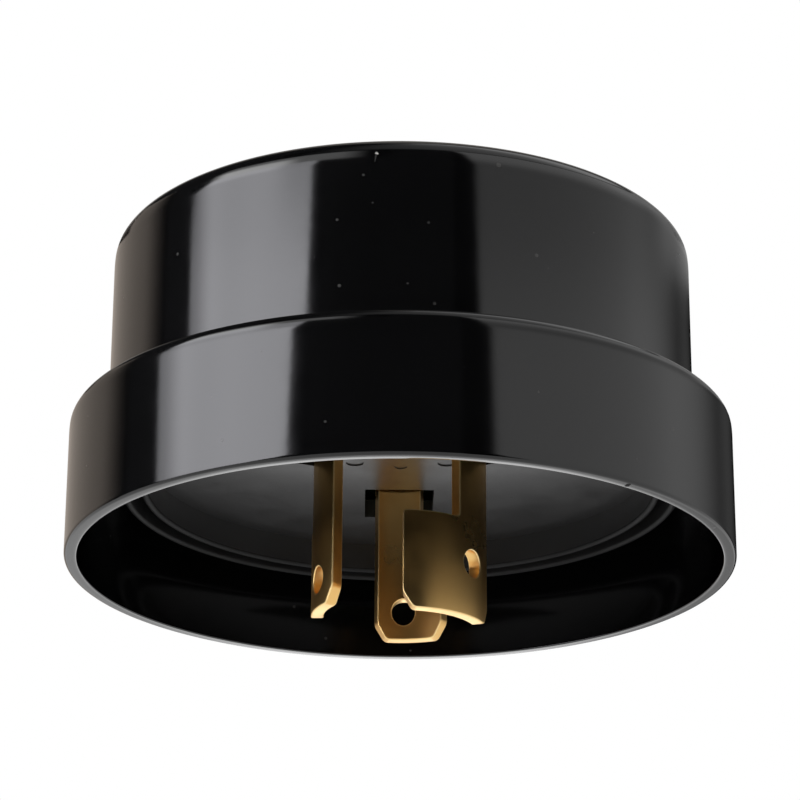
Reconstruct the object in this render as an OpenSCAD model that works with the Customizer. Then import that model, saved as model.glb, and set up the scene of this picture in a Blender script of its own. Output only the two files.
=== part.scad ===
// Twist-lock photocell switch: a stepped moulded cover over a recessed base plate,
// with three hooked blades below and a solid-state switching circuit inside.
// Millimetres. The origin is the centre of the rim plane, +Z runs up to the crown.

/* [Cover] */
// Outside diameter of the skirt
skirt_d = 82.6; // [80:0.1:90]
// Height of the skirt, from the rim to the shoulder
skirt_h = 17.7; // [15:0.1:18.5]
// Outside diameter of the upper body
body_d = 73.1; // [71:0.1:76]
// Height of the cover, from the rim to the crown
cover_h = 41.4; // [40:0.1:48]
// Wall thickness of the skirt, shoulder and body
cover_wall = 1.6; // [1.2:0.1:2]
// Thickness of the crown
crown_t = 1.8; // [1.2:0.1:2.4]
// Rounding of the crown's outer edge
crown_fillet = 2.2; // [0.6:0.1:2.5]
// Rounding of the shoulder's outer edge
shoulder_fillet = 1.2; // [0.3:0.1:1.4]
// Rounding of the rim's two edges
rim_fillet = 0.4; // [0.2:0.05:0.5]
// Number of ribs inside the body that stop the base plate
stop_ribs = 6; // [3:1:9]
// Thickness of a stop rib
stop_rib_t = 1.6; // [1:0.1:2.4]
// How far a stop rib stands in from the wall
stop_rib_depth = 2; // [1.5:0.1:2.5]

/* [Light window] */
// How far the lens's flange reaches past the opening
window_flange = 1.5; // [1:0.1:2]
// Thickness of the lens's flange
window_flange_t = 1.2; // [0.8:0.1:1.6]
// Gap between the lens's flange and the crown, and the board
window_margin = 1.75; // [1:0.05:3]
// Gap between the lens and its opening, all round
window_clear = 0.1; // [0.05:0.05:0.3]

/* [Base plate] */
// Depth of the base's face above the rim
base_recess = 13.2; // [12.6:0.1:13.6]
// Thickness of the base plate
base_t = 2.4; // [2:0.1:3]
// Height of the base, from its face to the top of its wall
base_h = 6.8; // [6.6:0.1:7.6]
// Thickness of the base's wall
base_wall = 1.6; // [1.2:0.1:2]
// Radial gap between the base and the body's bore
base_clear = 0.25; // [0.1:0.05:0.4]
// Thickness of the two rings under the base's edge
edge_ring_t = 0.9; // [0.7:0.1:1.2]
// How far the outer ring stands below the face
outer_ring_h = 4.15; // [3.5:0.05:5]
// How far the inner ring stands below the face
inner_ring_h = 3.85; // [3:0.05:5]
// Width of the groove between the two rings
edge_groove_w = 1.5; // [1.2:0.1:2.4]
// Number of ribs across the edge groove
edge_ribs = 12; // [6:1:24]
// Thickness of an edge rib
edge_rib_t = 1.2; // [0.8:0.1:2]
// How far an edge rib lies above the inner ring's edge
edge_rib_recess = 0.4; // [0.2:0.1:1]
// Turn of the first edge rib from the +X axis, in degrees
edge_rib_turn = 20.6; // [0:0.1:30]
// Height of the snap bead on the base's wall
bead_h = 0.45; // [0.3:0.05:0.6]
// Height of the snap bead's middle below the top of the base's wall
bead_down = 1.5; // [1.2:0.1:2]
// Gap round the snap bead in the cover's groove
bead_clear = 0.2; // [0.1:0.05:0.3]
// Gap beside a blade's stem in its opening
opening_margin = 1.25; // [1:0.05:2]
// Gap between a blade's inner face and the start of its opening
opening_lead = 0.6; // [0.5:0.05:1]
// Distance of an opening's far end from the axis
opening_out = 19.7; // [18:0.1:22]
// Diameter of the two ejector marks on the face
mark_d = 2.2; // [1.5:0.1:3]
// Distance of the ejector marks from the middle plane
mark_x = 5.7; // [4:0.1:6]
// Distance of the ejector marks in front of the axis
mark_y = 1.3; // [0:0.1:2.5]
// Diameter of the gate mark in the middle of the face
gate_d = 1.6; // [1:0.1:2.4]
// Depth of the marks
mark_depth = 0.3; // [0.1:0.05:0.5]

/* [Blades] */
// Outer radius of the circle that the blades lie on
blade_r = 10.9; // [10:0.1:11.5]
// Thickness of a blade
blade_t = 1.55; // [1.2:0.05:1.8]
// Gap between the base's face and the top of a hook
hook_gap = 9.2; // [7.5:0.1:9.5]
// How far the line and load blades stand below the rim
blade_drop = 6.5; // [5.5:0.1:8]
// How far the neutral blade stands below the rim
neutral_drop = 8.3; // [6.5:0.1:9]
// Width of a line or load stem, round its outer face
stem_w = 6.3; // [5:0.1:7]
// Width of a line or load hook, round its outer face
hook_w = 9.6; // [8.5:0.1:11]
// Width of the neutral stem, round its outer face
neutral_stem_w = 6.8; // [6:0.1:8]
// Width of the neutral hook, round its outer face
neutral_hook_w = 14.4; // [12:0.1:15]
// Turn of the line blade's leading edge, in degrees
line_turn = 107.3; // [104:0.1:110]
// Turn of the load blade's leading edge, in degrees
load_turn = 221.5; // [219:0.1:230]
// Turn of the neutral blade's leading edge, in degrees
neutral_turn = 347.3; // [344:0.1:350]
// Height of the cut corners at a blade's tip
tip_cut_h = 2; // [1:0.1:3]
// Width of the cut corners at a blade's tip
tip_cut_w = 1.3; // [0.6:0.1:1.6]
// Diameter of the hole in a blade
blade_hole_d = 3.4; // [2.5:0.1:4]
// Height of the hole above the tip of a line or load blade
hole_up = 3.6; // [3:0.1:4.5]
// Distance of the hole from the leading edge of a line or load blade
hole_in = 3.8; // [3:0.1:4.5]
// Height of the hole above the neutral blade's tip
neutral_hole_up = 6.8; // [4:0.1:7.5]
// Distance of the hole from the neutral blade's leading edge
neutral_hole_in = 4.4; // [3.5:0.1:5]
// Width of the foot that holds a blade inside the base
foot_w = 4.4; // [4:0.1:4.7]
// Distance of a foot's inner end from the axis
foot_in = 3.9; // [3.6:0.1:4.1]
// Width of the tab that joins a blade to the board
tab_w = 2.4; // [1.6:0.1:3]
// Distance of a foot's heat stake from the axis
stake_r = 6.3; // [6:0.1:6.6]
// Diameter of a heat stake
stake_d = 2.4; // [1.8:0.1:2.6]
// Diameter of a heat stake's head
stake_head_d = 4; // [3.4:0.1:4.2]
// Height of a heat stake's head
stake_head_h = 1; // [0.6:0.1:1.1]
// Gap round a heat stake in its foot
stake_clear = 0.1; // [0.05:0.05:0.2]

/* [Circuit board] */
// Diameter of the board
board_d = 62; // [61:0.1:63]
// Thickness of the board
board_t = 1.6; // [1:0.1:2]
// Space between the base plate and the board
board_gap = 4.5; // [4.3:0.1:5]
// Diameter of the posts under the board
post_d = 6; // [5:0.1:7]
// Distance of the posts from the axis
post_r = 27; // [26.5:0.1:27.5]
// Diameter of a board screw's shank
screw_d = 2.2; // [1.8:0.1:2.6]
// Diameter of a board screw's head
screw_head_d = 4.4; // [3.6:0.1:5]
// Height of a board screw's head
screw_head_h = 1.6; // [1.2:0.1:2]
// Depth of a board screw in its post
screw_depth = 4; // [3:0.1:4.2]
// Gap round a board screw
screw_clear = 0.05; // [0.02:0.01:0.1]
// Diameter of the pins of the parts on the board
pin_d = 0.7; // [0.5:0.05:0.9]
// Gap round a pin in its hole
pin_clear = 0.15; // [0.05:0.05:0.3]
// How far a pin stands out under the board
pin_stub = 1.5; // [1.3:0.1:2]
// Width of a solder joint at the board
solder_d = 2; // [1.6:0.1:2.2]
// Height of a solder joint
solder_h = 1.1; // [0.6:0.1:1.2]

/* [Switching circuit] */
// Width of the triac's body
triac_w = 10; // [8:0.1:10.6]
// Depth of the triac's body
triac_depth = 4.6; // [4:0.1:5]
// Thickness of the triac's metal tab
triac_tab_t = 1.3; // [1:0.1:1.6]
// Height of the triac's metal tab above its body
triac_tab_h = 6.2; // [6:0.1:6.4]
// Height of the triac's body above the board
triac_up = 1; // [0.8:0.1:1.5]
// Diameter of the hole in the triac's tab and the heat sink
triac_hole_d = 3.6; // [3.3:0.1:3.8]
// Width of the heat sink
sink_w = 20; // [16:0.1:21]
// Depth of the heat sink's folded sides
sink_fold = 6; // [4:0.1:6.5]
// Gap between the heat sink and the crown
sink_clear = 1.3; // [0.8:0.1:2.5]
// Thickness of the heat sink's sheet
sink_t = 1.5; // [1:0.1:2]
// Distance between the heat sink's pins
sink_pitch = 14; // [10:0.1:15]
// Diameter of the heat sink's screw
sink_screw_d = 3; // [2.5:0.1:3.2]
// Diameter of that screw's head
sink_head_d = 5.4; // [4.5:0.1:5.8]
// Height of that screw's head
sink_head_h = 2; // [1.5:0.1:2.4]
// Width across the corners of the heat sink's nut
nut_d = 6.2; // [5:0.1:6.4]
// Height of the heat sink's nut
nut_h = 2.4; // [1.8:0.1:2.6]
// Gap between the surge varistor and the crown
varistor_clear = 1.9; // [0.8:0.1:6]
// Thickness of the surge varistor
varistor_t = 5; // [3.5:0.1:5.5]
// Distance between the varistor's pins
varistor_pitch = 7.5; // [5:0.1:7.5]
// Length of the dropper capacitor
dropper_l = 18; // [17:0.1:20]
// Width of the dropper capacitor
dropper_w = 8.5; // [6:0.1:9]
// Gap between the dropper capacitor and the crown
dropper_clear = 3; // [0.8:0.1:6]
// Distance between the dropper capacitor's pins
dropper_pitch = 15; // [12:0.1:15.5]
// Diameter of the smoothing capacitor
smoother_d = 10; // [8:0.1:10.6]
// Gap between the smoothing capacitor and the crown
smoother_clear = 2; // [0.8:0.1:6]
// Distance between the smoothing capacitor's pins
smoother_pitch = 5; // [3.5:0.1:5.5]
// Length of the bridge rectifier
bridge_l = 8.3; // [7.5:0.1:9]
// Width of the bridge rectifier
bridge_w = 6.4; // [6:0.1:6.8]
// Height of the bridge rectifier
bridge_h = 3.2; // [2.6:0.1:3.6]
// Length of the driver chip
driver_l = 8.8; // [8:0.1:9.4]
// Width of the driver chip
driver_w = 6.4; // [6:0.1:6.8]
// Height of the driver chip
driver_h = 3.4; // [3:0.1:3.8]
// Distance between the pins in a row of a package
pin_pitch = 2.54; // [2:0.01:2.54]
// Diameter of the light sensor
sensor_d = 7; // [5:0.1:8]
// Thickness of the light sensor
sensor_t = 2.4; // [2:0.1:3]
// Distance of the sensor's face from the body's bore
sensor_back = 3.4; // [3:0.1:4.5]
// Distance between the sensor's pins
sensor_pitch = 3.4; // [2.5:0.1:4]
// Diameter of a resistor
resistor_d = 2.4; // [1.8:0.1:2.6]
// Length of a resistor
resistor_l = 6.5; // [5:0.1:7.5]
// Diameter of the clamp diode
diode_d = 2.7; // [2:0.1:3]
// Length of the clamp diode
diode_l = 5.2; // [4:0.1:6]
// Distance between the pins of a resistor or the clamp diode
axial_pitch = 10.2; // [9.5:0.1:10.8]
// Height of a part above the board where its pins carry it
lift = 1; // [0.6:0.1:1.4]

/* [Hidden] */
$fn = 96;

// Cut-through allowance
cut = 1;
// Bores, and the levels of the base
bore_r = body_d / 2 - cover_wall;
skirt_bore_r = skirt_d / 2 - cover_wall;
crown_under = cover_h - crown_t;
plug_r = bore_r - base_clear;
base_top = base_recess + base_t;
wall_top = base_recess + base_h;
stop_rib_h = crown_under - wall_top + crown_t / 2;
bead_z = wall_top - bead_down;
groove_out = plug_r - edge_ring_t;
groove_in = groove_out - edge_groove_w;

// Blade angles from widths round the outer face
blade_in = blade_r - blade_t;
function arc(w) = w / blade_r * 180 / PI;
hook_top = base_recess - hook_gap;
// Each blade: leading edge, stem, hook, drop, hole height, hole distance
LINE = [line_turn, stem_w, hook_w, blade_drop, hole_up, hole_in];
LOAD = [load_turn, stem_w, hook_w, blade_drop, hole_up, hole_in];
NEUTRAL = [neutral_turn, neutral_stem_w, neutral_hook_w, neutral_drop, neutral_hole_up,
           neutral_hole_in];
BLADES = [LINE, LOAD, NEUTRAL];
function mid_turn(b) = b[0] - arc(b[1]) / 2;
foot_top = base_top + blade_t;

// Levels of the board and its parts
board_z = base_top + board_gap;
board_top = board_z + board_t;
post_turns = [30, 150, 270];
// Room above the board, and what it leaves for the window and the tall parts
part_room = crown_under - board_top;
window_d = part_room - 2 * (window_flange + window_margin);
window_z = board_top + part_room / 2;
sink_h = part_room - sink_clear;
triac_h = sink_h - triac_up - triac_tab_h;
varistor_d = part_room - lift - varistor_clear;
dropper_h = part_room - lift / 2 - dropper_clear;
smoother_h = part_room - lift / 2 - smoother_clear;
pin_low = -board_t - pin_stub;
pin_hole_d = pin_d + 2 * pin_clear;
sensor_y = bore_r - sensor_back - sensor_t;
sensor_pin_y = sensor_y - pin_d;
tab_hole_z = triac_up + triac_h + triac_tab_h / 2;

// Where the parts stand on the board: across, back and turn
TRIAC = [-20.5, 0, -90];
VARISTOR = [19.5, -5.5, 90];
DROPPER = [0, -12.5, 0];
SMOOTHER = [12, 7.5, 0];
BRIDGE = [-8, 8.5, 0];
DRIVER = [-9, -21.5, 0];
SENSOR = [0, 0, 0];
RESISTORS = [[8, -19.5, 0], [8, -23, 0], [-1, 14.5, 0], [13, 19.5, 0]];
DIODE = [-12, 18.5, 0];

// Pins of each part, in its own place
triac_pins = [for (i = [-1:1]) [i * pin_pitch, triac_depth / 2]];
sink_pins = [for (s = [-1, 1]) [s * sink_pitch / 2, -sink_t / 2]];
varistor_pins = [for (s = [-1, 1]) [s * varistor_pitch / 2, 0]];
dropper_pins = [for (s = [-1, 1]) [s * dropper_pitch / 2, 0]];
smoother_pins = [for (s = [-1, 1]) [s * smoother_pitch / 2, 0]];
bridge_pins = [for (s = [-1, 1], t = [-1, 1]) [s * pin_pitch, t * (bridge_w / 2 + pin_d)]];
driver_pins = [for (i = [-1:1], t = [-1, 1]) [i * pin_pitch, t * (driver_w / 2 + pin_d)]];
sensor_pins = [for (s = [-1, 1]) [s * sensor_pitch / 2, sensor_pin_y]];
axial_pins = [for (s = [-1, 1]) [s * axial_pitch / 2, 0]];

function placed(place, pins) = [for (p = pins)
    [place.x + p.x * cos(place.z) - p.y * sin(place.z),
     place.y + p.x * sin(place.z) + p.y * cos(place.z)]];

part_pins = concat(
    placed(TRIAC, triac_pins), placed(TRIAC, sink_pins), placed(VARISTOR, varistor_pins),
    placed(DROPPER, dropper_pins), placed(SMOOTHER, smoother_pins),
    placed(BRIDGE, bridge_pins), placed(DRIVER, driver_pins), placed(SENSOR, sensor_pins),
    [for (place = RESISTORS) each placed(place, axial_pins)], placed(DIODE, axial_pins));

// What a round takes off a square corner that points to +X +Y
module corner_cut(r) {
    translate([-r, -r])
        difference() {
            square(r + cut);
            circle(r);
        }
}

// A block with round upright edges
module round_block(size, r) {
    linear_extrude(size.z) {
        square([size.x - 2 * r, size.y], center = true);
        square([size.x, size.y - 2 * r], center = true);
        for (sx = [-1, 1], sy = [-1, 1])
            translate([sx * (size.x / 2 - r), sy * (size.y / 2 - r)]) circle(r);
    }
}

// A sheet bent round the axis: from turn a1 to a2, between two heights
module bent_sheet(a1, a2, low, high) {
    rotate(a1)
        rotate_extrude(angle = a2 - a1)
            translate([blade_in, low]) square([blade_t, high - low]);
}

module on_board(place) {
    translate([place.x, place.y, board_top]) rotate(place.z) children();
}

module pins(points, high) {
    for (p = points)
        translate([p.x, p.y, pin_low]) cylinder(d = pin_d, h = high - pin_low);
}

// Cover: one moulding, with the skirt, shoulder, body and crown
module cover_section() {
    difference() {
        union() {
            square([skirt_d / 2, skirt_h]);
            square([body_d / 2, cover_h]);
        }
        translate([body_d / 2, cover_h]) corner_cut(crown_fillet);
        translate([skirt_d / 2, skirt_h]) corner_cut(shoulder_fillet);
        translate([skirt_d / 2, 0]) mirror([0, 1]) corner_cut(rim_fillet);
        translate([-cut, -cut]) square([skirt_bore_r + cut, skirt_h - cover_wall + cut]);
        translate([skirt_bore_r, 0])
            mirror([0, 1])
                mirror([1, 0])
                    corner_cut(rim_fillet);
        translate([-cut, 0]) square([bore_r + cut, crown_under]);
        translate([bore_r, bead_z])
            polygon([[-cut, -bead_h - bead_clear], [0, -bead_h - bead_clear],
                     [bead_h + bead_clear, 0], [0, bead_h + bead_clear], [-cut, bead_h + bead_clear]]);
    }
}

module cover() {
    color("#141414")
        difference() {
            union() {
                rotate_extrude() cover_section();
                for (i = [0:stop_ribs - 1])
                    rotate(i * 360 / stop_ribs)
                        translate([bore_r - stop_rib_depth, -stop_rib_t / 2, wall_top])
                            cube([stop_rib_depth + cover_wall / 2, stop_rib_t, stop_rib_h]);
            }
            translate([0, 0, window_z])
                rotate([-90, 0, 0])
                    cylinder(d = window_d, h = skirt_d);
        }
}

// Light window: a clear plug through the body, with a flange inside the wall
module window_lens() {
    flange_d = window_d + 2 * window_flange;
    color("#dfe6e8")
        intersection() {
            translate([0, 0, window_z])
                rotate([-90, 0, 0]) {
                    cylinder(d = window_d - 2 * window_clear, h = skirt_d);
                    cylinder(d = flange_d, h = bore_r);
                }
            translate([0, 0, window_z - flange_d])
                difference() {
                    cylinder(r = body_d / 2 - window_clear, h = 2 * flange_d);
                    translate([0, 0, -cut])
                        cylinder(r = bore_r - window_flange_t, h = 2 * flange_d + 2 * cut);
                }
            lens_shell(flange_d);
        }
}

// The space that the lens fills: the bore inside, and the opening through the wall
module lens_shell(flange_d) {
    translate([0, 0, window_z - flange_d]) cylinder(r = bore_r, h = 2 * flange_d);
    translate([0, 0, window_z])
        rotate([-90, 0, 0])
            cylinder(d = window_d - 2 * window_clear, h = skirt_d);
}

// Base plate: face, two rings under its edge, wall with its snap bead, posts and stakes
module edge_ring(r, h) {
    translate([r, base_recess - h + edge_ring_t / 2]) square([edge_ring_t, h]);
    translate([r + edge_ring_t / 2, base_recess - h + edge_ring_t / 2]) circle(d = edge_ring_t);
}

module base_section() {
    translate([0, base_recess]) square([plug_r, base_t]);
    translate([plug_r - base_wall, base_recess]) square([base_wall, base_h]);
    edge_ring(groove_out, outer_ring_h);
    edge_ring(groove_in - edge_ring_t, inner_ring_h);
    translate([plug_r, bead_z])
        polygon([[-base_wall / 2, -bead_h], [0, -bead_h], [bead_h, 0], [0, bead_h],
                 [-base_wall / 2, bead_h]]);
}

// The opening that a blade is put through, running outwards from its stem
module blade_opening(b) {
    start = blade_in - opening_lead;
    width = b[1] + 2 * opening_margin;
    rotate(mid_turn(b))
        translate([start, -width / 2, base_recess - cut])
            cube([opening_out - start, width, base_t + 2 * cut]);
}

module heat_stake(b) {
    rotate(mid_turn(b))
        translate([stake_r, 0, base_top - base_t / 2]) {
            cylinder(d = stake_d, h = base_t / 2 + blade_t + stake_head_h / 2);
            translate([0, 0, base_t / 2 + blade_t])
                cylinder(d1 = stake_head_d, d2 = stake_d, h = stake_head_h);
        }
}

module face_mark(x, y, d) {
    translate([x, y, base_recess - cut]) cylinder(d = d, h = cut + mark_depth);
}

module base_plate() {
    color("#1b1b1b")
        difference() {
            union() {
                rotate_extrude() base_section();
                for (i = [0:edge_ribs - 1])
                    rotate(edge_rib_turn + i * 360 / edge_ribs)
                        translate([groove_in - edge_ring_t / 2, -edge_rib_t / 2,
                                   base_recess - inner_ring_h + edge_rib_recess])
                            cube([edge_groove_w + edge_ring_t, edge_rib_t, inner_ring_h]);
                for (turn = post_turns)
                    rotate(turn)
                        translate([post_r, 0, base_top - base_t / 2])
                            cylinder(d = post_d, h = board_gap + base_t / 2);
                for (b = BLADES)
                    heat_stake(b);
            }
            for (b = BLADES)
                blade_opening(b);
            for (s = [-1, 1])
                face_mark(s * mark_x, -mark_y, mark_d);
            face_mark(0, 0, gate_d);
            for (turn = post_turns)
                rotate(turn)
                    translate([post_r, 0, base_top])
                        cylinder(d = screw_d + 2 * screw_clear, h = board_gap + cut);
        }
}

// Blade: a stem and hook bent round the axis, a foot staked inside, and a tab to the board
module tip_cut(turn, side, tip) {
    slope = atan2(tip_cut_w, tip_cut_h);
    rotate(turn)
        translate([blade_r, 0, tip + tip_cut_h])
            rotate([-side * slope, 0, 0])
                translate([-2 * blade_t, side > 0 ? 0 : -2 * tip_cut_w, -2 * tip_cut_h])
                    cube([3 * blade_t, 2 * tip_cut_w, 4 * tip_cut_h]);
}

// What is cut away from the bent sheet between two turns, from a height up
module sheet_cut(a1, a2, low, high) {
    rotate(a1)
        rotate_extrude(angle = a2 - a1)
            translate([blade_in - cut, low]) square([blade_t + 2 * cut, high - low]);
}

module blade(b) {
    tip = -b[3];
    top = board_top + pin_stub;
    mid = mid_turn(b);
    hook_end = b[0] - arc(b[2]);
    stem_end = b[0] - arc(b[1]);
    tab_half = arc(tab_w) / 2;
    color("#b08d4a")
        difference() {
            union() {
                bent_sheet(hook_end, b[0], tip, top);
                translate([0, 0, base_top])
                    linear_extrude(blade_t)
                        intersection() {
                            rotate(mid)
                                translate([foot_in, -foot_w / 2])
                                    square([blade_r - foot_in, foot_w]);
                            circle(blade_r - blade_t / 2);
                        }
            }
            sheet_cut(hook_end - tab_half, stem_end, hook_top, top + cut);
            sheet_cut(stem_end - tab_half, mid - tab_half, foot_top, top + cut);
            sheet_cut(mid + tab_half, b[0] + tab_half, foot_top, top + cut);
            tip_cut(b[0], 1, tip);
            tip_cut(hook_end, -1, tip);
            rotate(b[0] - arc(b[5]))
                translate([0, 0, tip + b[4]])
                    rotate([0, 90, 0])
                        cylinder(d = blade_hole_d, h = blade_r + cut);
            rotate(mid)
                translate([stake_r, 0, base_top - cut])
                    cylinder(d = stake_d + 2 * stake_clear, h = blade_t + 2 * cut);
        }
}

module line_blade() {
    blade(LINE);
}

module load_blade() {
    blade(LOAD);
}

module neutral_blade() {
    blade(NEUTRAL);
}

// The room that a blade's tab takes up, with a gap round it
module tab_room(b, gap, low, high) {
    half = arc(tab_w / 2 + gap);
    rotate(mid_turn(b) - half)
        rotate_extrude(angle = 2 * half)
            translate([blade_in - gap, low]) square([blade_t + 2 * gap, high - low]);
}

module circuit_board() {
    color("#1f5a36")
        translate([0, 0, board_z])
            difference() {
                cylinder(d = board_d, h = board_t);
                for (turn = post_turns)
                    rotate(turn)
                        translate([post_r, 0, -cut])
                            cylinder(d = screw_d + 4 * pin_clear, h = board_t + 2 * cut);
                for (p = part_pins)
                    translate([p.x, p.y, -cut])
                        cylinder(d = pin_hole_d, h = board_t + 2 * cut);
                for (b = BLADES)
                    tab_room(b, pin_clear, -cut, board_t + cut);
            }
}

module board_screws() {
    slot_w = screw_head_d / 6;
    color("#8d8f92")
        for (turn = post_turns)
            rotate(turn)
                translate([post_r, 0, board_top])
                    difference() {
                        union() {
                            cylinder(d1 = screw_head_d, d2 = screw_head_d * 0.8, h = screw_head_h);
                            translate([0, 0, -board_t - screw_depth])
                                cylinder(d = screw_d, h = board_t + screw_depth + screw_head_h / 2);
                        }
                        for (a = [0, 90])
                            rotate(a)
                                translate([-screw_head_d * 0.3, -slot_w / 2, screw_head_h / 2])
                                    cube([screw_head_d * 0.6, slot_w, screw_head_h]);
                    }
}

// Triac: a moulded body with a metal tab, standing against the heat sink
module triac() {
    color("#2a2a2c")
        on_board(TRIAC)
            difference() {
                union() {
                    translate([-triac_w / 2, 0, triac_up]) cube([triac_w, triac_depth, triac_h]);
                    translate([-triac_w / 2, 0, triac_up])
                        cube([triac_w, triac_tab_t, triac_h + triac_tab_h]);
                    pins(triac_pins, triac_up + pin_d);
                }
                translate([0, -cut, tab_hole_z])
                    rotate([-90, 0, 0])
                        cylinder(d = triac_hole_d, h = triac_tab_t + 2 * cut);
            }
}

// Heat sink: a sheet with two folded sides, standing on two pins
module heat_sink() {
    color("#b9bcc0")
        on_board(TRIAC)
            difference() {
                union() {
                    translate([-sink_w / 2, -sink_fold, 0]) cube([sink_w, sink_fold, sink_h]);
                    pins(sink_pins, pin_d);
                }
                translate([sink_t - sink_w / 2, -sink_fold - cut, -cut])
                    cube([sink_w - 2 * sink_t, sink_fold - sink_t + cut, sink_h + 2 * cut]);
                translate([0, -sink_t - cut, tab_hole_z])
                    rotate([-90, 0, 0])
                        cylinder(d = triac_hole_d, h = sink_t + 2 * cut);
            }
}

module heat_sink_screw() {
    grip = triac_tab_t + sink_t + nut_h;
    color("#8d8f92")
        on_board(TRIAC)
            translate([0, triac_tab_t, tab_hole_z])
                rotate([90, 0, 0])
                    difference() {
                        union() {
                            translate([0, 0, -sink_head_h]) cylinder(d = sink_head_d, h = sink_head_h);
                            cylinder(d = sink_screw_d, h = grip + sink_t);
                        }
                        translate([-sink_head_d, -sink_head_d / 12, -sink_head_h - cut])
                            cube([2 * sink_head_d, sink_head_d / 6, cut + sink_head_h / 2]);
                    }
}

module heat_sink_nut() {
    color("#a3a6aa")
        on_board(TRIAC)
            translate([0, -sink_t, tab_hole_z])
                rotate([90, 0, 0])
                    difference() {
                        cylinder(d = nut_d, h = nut_h, $fn = 6);
                        translate([0, 0, -cut]) cylinder(d = sink_screw_d, h = nut_h + 2 * cut);
                    }
}

// Surge varistor: a coated disc on edge, with two pins
module surge_varistor() {
    r = varistor_d / 2;
    edge = varistor_t / 4;
    color("#2f6fae")
        on_board(VARISTOR) {
            translate([0, varistor_t / 2, lift + r])
                rotate([90, 0, 0])
                    rotate_extrude()
                        difference() {
                            square([r, varistor_t]);
                            translate([r, varistor_t]) corner_cut(edge);
                            translate([r, 0]) mirror([0, 1]) corner_cut(edge);
                        }
            pins(varistor_pins, lift + r);
        }
}

module dropper_capacitor() {
    color("#c9a227")
        on_board(DROPPER) {
            translate([0, 0, lift / 2])
                round_block([dropper_l, dropper_w, dropper_h], dropper_w / 8);
            pins(dropper_pins, lift);
        }
}

// Smoothing capacitor: a can with a crimp near its foot
module smoothing_capacitor() {
    r = smoother_d / 2;
    crimp = r / 10;
    color("#23324f")
        on_board(SMOOTHER) {
            translate([0, 0, lift / 2])
                rotate_extrude()
                    difference() {
                        square([r, smoother_h]);
                        translate([r + crimp / 2, r / 2]) circle(crimp);
                        translate([r, smoother_h]) corner_cut(crimp * 2);
                    }
            pins(smoother_pins, lift);
        }
}

// A low moulded package whose pins leave its two long sides and turn down
module flat_package(size, points) {
    translate([0, 0, lift / 2]) round_block(size, size.z / 8);
    pins(points, lift / 2 + size.z / 2);
    for (p = points)
        translate([p.x, p.y, lift / 2 + size.z / 2])
            rotate([p.y > 0 ? 90 : -90, 0, 0])
                cylinder(d = pin_d, h = 2 * pin_d);
    for (p = points)
        translate([p.x, p.y, lift / 2 + size.z / 2]) sphere(d = pin_d);
}

module bridge_rectifier() {
    color("#26262a") on_board(BRIDGE) flat_package([bridge_l, bridge_w, bridge_h], bridge_pins);
}

module driver_chip() {
    color("#e4e4e0") on_board(DRIVER) flat_package([driver_l, driver_w, driver_h], driver_pins);
}

// Light sensor: a disc that faces the window, on two bent pins
module light_sensor() {
    stand = window_z - board_top;
    color("#b5532d")
        on_board(SENSOR) {
            translate([0, sensor_y, stand])
                rotate([-90, 0, 0])
                    rotate_extrude()
                        difference() {
                            square([sensor_d / 2, sensor_t]);
                            translate([sensor_d / 2, sensor_t]) corner_cut(sensor_t / 4);
                        }
            pins(sensor_pins, stand);
            for (p = sensor_pins)
                translate([p.x, p.y, stand]) {
                    sphere(d = pin_d);
                    rotate([-90, 0, 0]) cylinder(d = pin_d, h = pin_d + sensor_t / 2);
                }
        }
}

// A part that lies along its two bent pins
module axial(place, d, l) {
    high = d / 2 + lift / 2;
    on_board(place) {
        translate([-l / 2, 0, high])
            rotate([0, 90, 0])
                rotate_extrude()
                    difference() {
                        square([d / 2, l]);
                        translate([d / 2, l]) corner_cut(d / 6);
                        translate([d / 2, 0]) mirror([0, 1]) corner_cut(d / 6);
                    }
        translate([-axial_pitch / 2, 0, high])
            rotate([0, 90, 0])
                cylinder(d = pin_d, h = axial_pitch);
        pins(axial_pins, high);
        for (p = axial_pins)
            translate([p.x, p.y, high]) sphere(d = pin_d);
    }
}

module resistors() {
    color("#c8ad85")
        for (place = RESISTORS)
            axial(place, resistor_d, resistor_l);
}

module clamp_diode() {
    color("#3a2a24") axial(DIODE, diode_d, diode_l);
}

module solder_joint(p, wire_d) {
    translate([p.x, p.y, board_z - solder_h])
        difference() {
            cylinder(d1 = (solder_d + wire_d) / 2.4, d2 = solder_d, h = solder_h);
            translate([0, 0, -cut]) cylinder(d = wire_d, h = solder_h + 2 * cut);
        }
}

module solder_joints() {
    color("#b4b6b8") {
        for (p = part_pins)
            solder_joint(p, pin_d);
        for (b = BLADES)
            difference() {
                tab_room(b, (solder_d - pin_d) / 2, board_top, board_top + solder_h);
                tab_room(b, 0, board_top - cut, board_top + solder_h + cut);
            }
    }
}

cover();
window_lens();
base_plate();
line_blade();
load_blade();
neutral_blade();
circuit_board();
board_screws();
triac();
heat_sink();
heat_sink_screw();
heat_sink_nut();
surge_varistor();
dropper_capacitor();
smoothing_capacitor();
bridge_rectifier();
driver_chip();
light_sensor();
resistors();
clamp_diode();
solder_joints();
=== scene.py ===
"""Photocell switch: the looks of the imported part, laid out as an add-on."""

import math

import bmesh
import bpy
from bpy.props import FloatProperty, FloatVectorProperty, PointerProperty
from mathutils import Matrix, Vector


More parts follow.
